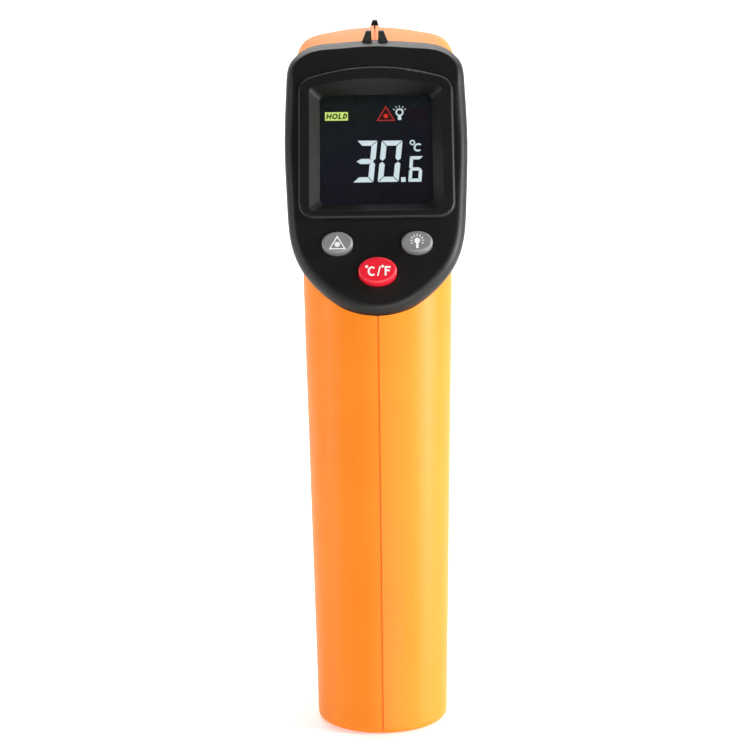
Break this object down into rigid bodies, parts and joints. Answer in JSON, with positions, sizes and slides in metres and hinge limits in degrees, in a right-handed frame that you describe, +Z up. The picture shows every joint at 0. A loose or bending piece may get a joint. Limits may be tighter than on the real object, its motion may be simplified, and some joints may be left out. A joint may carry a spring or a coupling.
{
  "type": "infrared thermometer",
  "caption": "Pistol-grip infrared thermometer with a tilted display bezel, three buttons, trigger, lens nose and hinged battery door.",
  "frame": {"origin": "centre of the flat base that the grip stands on", "axes": "+Z up, +Y towards the target, +X to the user's right"},
  "size_m": [0.0424, 0.1006, 0.1542],
  "materials": {
    "body_plastic": "fine satin texture",
    "bezel_plastic": "fine spark-eroded texture",
    "clear_window": "polished clear acrylic",
    "display_glass": "dark negative liquid-crystal panel",
    "white_diffuser": "translucent white",
    "rubber_strip": "soft striped rubber",
    "circuit_board": "green solder mask",
    "inner_plastic": "plain moulded",
    "screw_steel": "zinc plated",
    "spring_steel": "nickel plated",
    "sensor_can": "nickel plated can",
    "brass_tube": "turned brass",
    "cell_jacket": "printed foil jacket",
    "grey_button": "satin",
    "red_button": "satin"
  },
  "bodies": {
    "housing": {"shell_left": "body_plastic", "shell_right": "body_plastic", "shell_screws": "screw_steel", "board_screws": "screw_steel", "trigger_pin": "screw_steel", "door_pin": "screw_steel", "display_bezel": "bezel_plastic", "nose_cap": "bezel_plastic", "display_window": "clear_window", "laser_window": "clear_window", "lcd_panel": "display_glass", "lcd_backlight": "white_diffuser", "fresnel_lens": "white_diffuser", "elastomer_strips": "rubber_strip", "main_board": "circuit_board", "sensor_board": "circuit_board", "trigger_board": "circuit_board", "board_chips": "inner_plastic", "tact_switches": "inner_plastic", "sensor_holder": "inner_plastic", "lens_barrel": "inner_plastic", "trigger_carrier": "inner_plastic", "battery_tray": "inner_plastic", "trigger_switch": "inner_plastic", "lens_ring": "bezel_plastic", "thermopile_sensor": "sensor_can", "laser_module": "brass_tube", "trigger_spring": "spring_steel", "battery_springs": "spring_steel", "battery_contacts": "spring_steel", "battery_left": "cell_jacket", "battery_right": "cell_jacket"},
    "laser_key": {"laser_button": "grey_button", "laser_stem": "inner_plastic"},
    "backlight_key": {"backlight_button": "grey_button", "backlight_stem": "inner_plastic"},
    "unit_key": {"unit_button": "red_button", "unit_stem": "inner_plastic"},
    "trigger_lever": {"trigger": "bezel_plastic"},
    "plunger": {"switch_plunger": "inner_plastic"},
    "door": {"battery_door": "body_plastic"}
  },
  "joints": [
    {"name": "laser_press", "type": "slide", "parent": "housing", "child": "laser_key", "axis": [0, 0.8829, -0.4695], "range_m": [0, 0.0006], "stiffness_N_per_m": 2500, "springref_m": -0.0003},
    {"name": "backlight_press", "type": "slide", "parent": "housing", "child": "backlight_key", "axis": [0, 0.8829, -0.4695], "range_m": [0, 0.0006], "stiffness_N_per_m": 2500, "springref_m": -0.0003},
    {"name": "unit_press", "type": "slide", "parent": "housing", "child": "unit_key", "axis": [0, 0.8829, -0.4695], "range_m": [0, 0.0006], "stiffness_N_per_m": 2500, "springref_m": -0.0003},
    {"name": "trigger_pull", "type": "hinge", "parent": "housing", "child": "trigger_lever", "pos_m": [0, 0.0415, 0.1065], "axis": [-1, 0, 0], "range_deg": [0, 9], "stiffness_Nm_per_rad": 0.25, "springref_deg": -4.58, "deforming": ["trigger_spring"]},
    {"name": "plunger_travel", "type": "slide", "parent": "housing", "child": "plunger", "axis": [0, -1, 0], "range_m": [0, 0.0019]},
    {"name": "door_swing", "type": "hinge", "parent": "housing", "child": "door", "pos_m": [0, 0.0152, 0.0052], "axis": [-1, 0, 0], "range_deg": [0, 75]}
  ],
  "couplings": [
    {"joint": "plunger_travel", "follows": "trigger_pull", "m_per_rad": 0.011}
  ]
}
